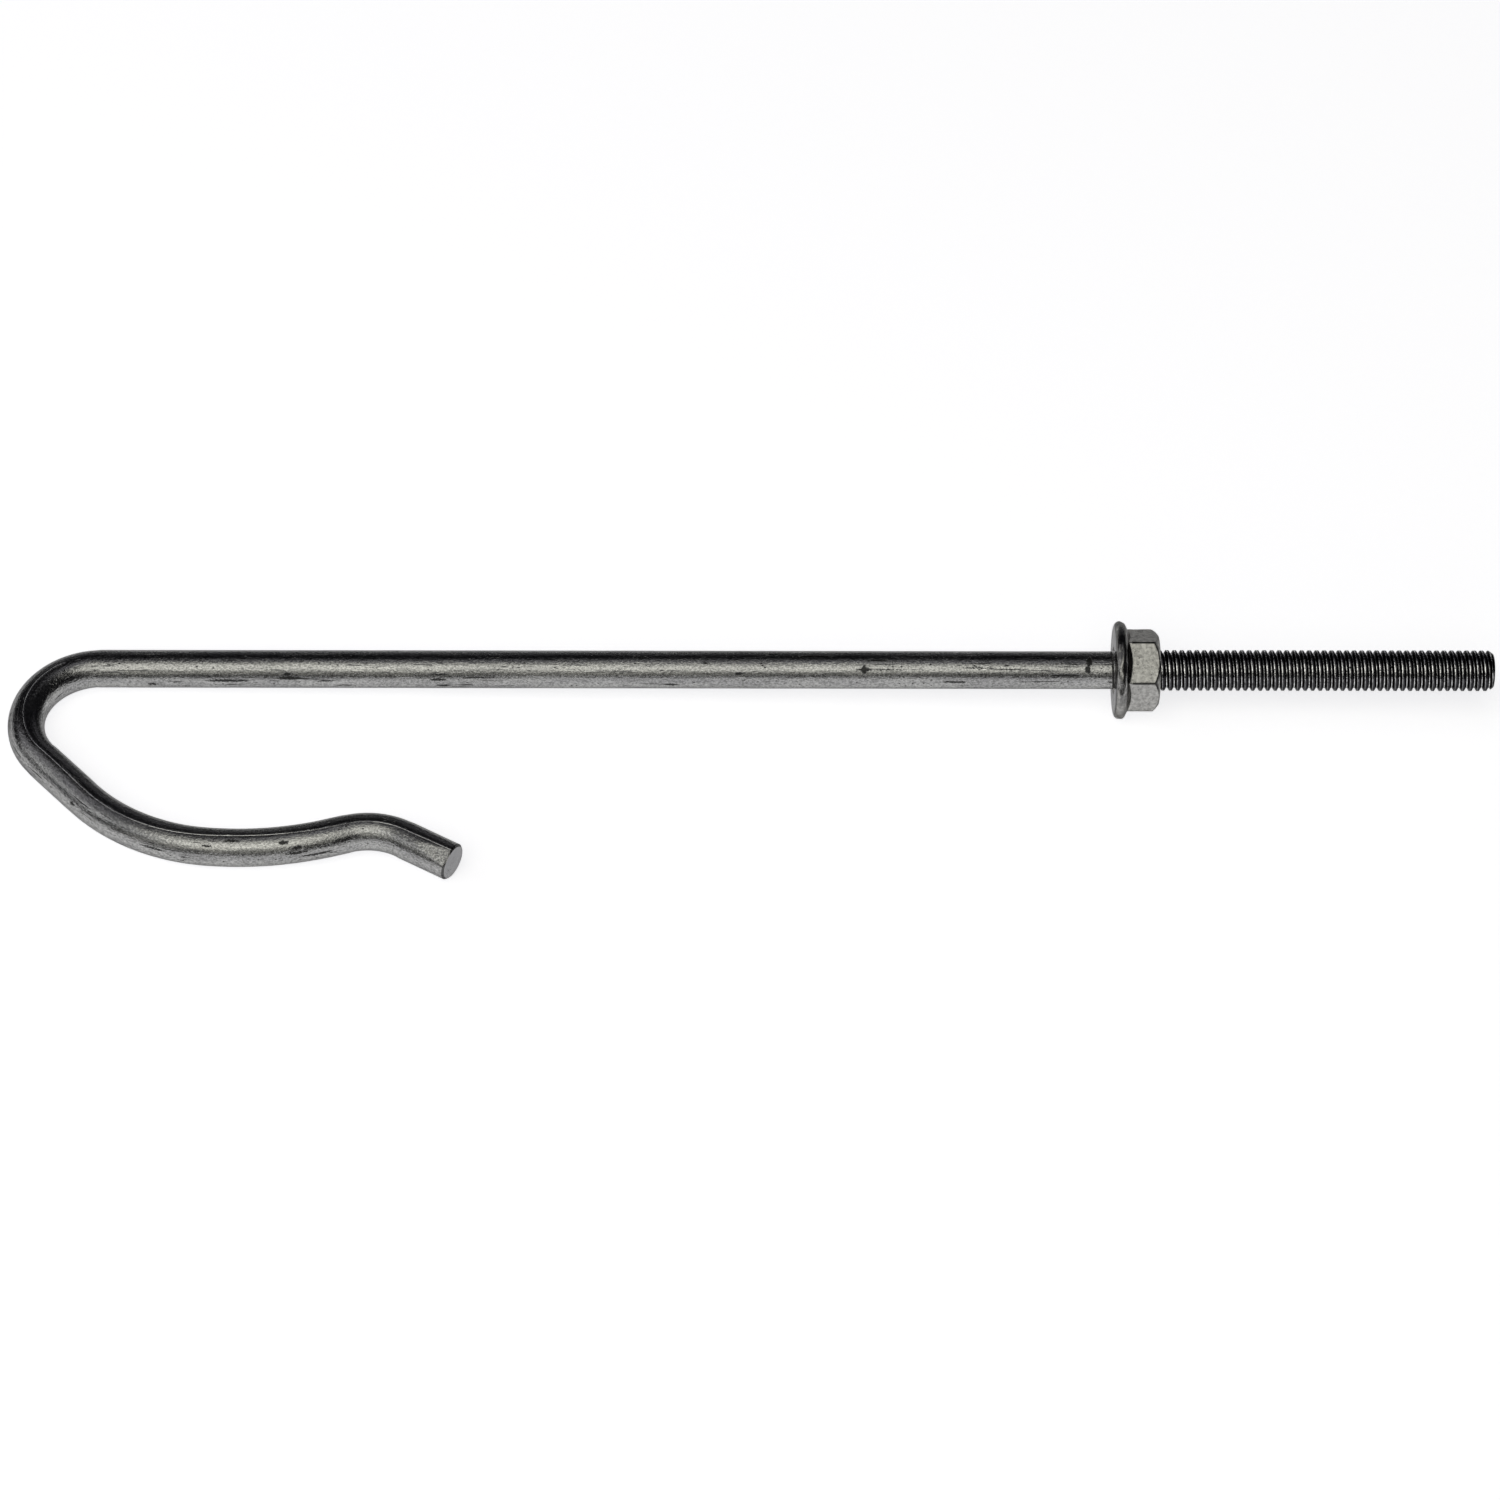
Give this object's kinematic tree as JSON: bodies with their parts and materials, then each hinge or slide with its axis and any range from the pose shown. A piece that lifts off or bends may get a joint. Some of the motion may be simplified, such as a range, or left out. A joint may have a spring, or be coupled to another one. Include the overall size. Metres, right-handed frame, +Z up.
{
  "type": "battery hold-down bolt",
  "caption": "Long round steel rod with a formed hook at one end and a thread at the other, carrying a hex flange nut that pulls a battery's cross bar down.",
  "frame": {"origin": "on the floor, under the middle of the bolt's outline as it lies on the flange's rim and the hook", "axes": "+X along the shank towards the threaded end (the shank itself rises 1.5 degrees), -Y to the side on which the hook curls, +Z up from the floor"},
  "size_m": [0.2786, 0.0581, 0.0186],
  "materials": {
    "rod_steel": "dark drawn steel with a thin oily mill skin, fine grain and lengthwise scratches",
    "nut_steel": "matt grey phosphate with a pebbly cold-formed skin"
  },
  "bodies": {
    "rod": {"hook_rod": "rod_steel"},
    "nut": {"flange_nut": "nut_steel"}
  },
  "joints": [
    {"name": "nut_on_thread", "type": "slide", "parent": "rod", "child": "nut", "axis": [0.9997, -0.0003, 0.0258], "range_m": [-0.00141, 0.06208]}
  ]
}
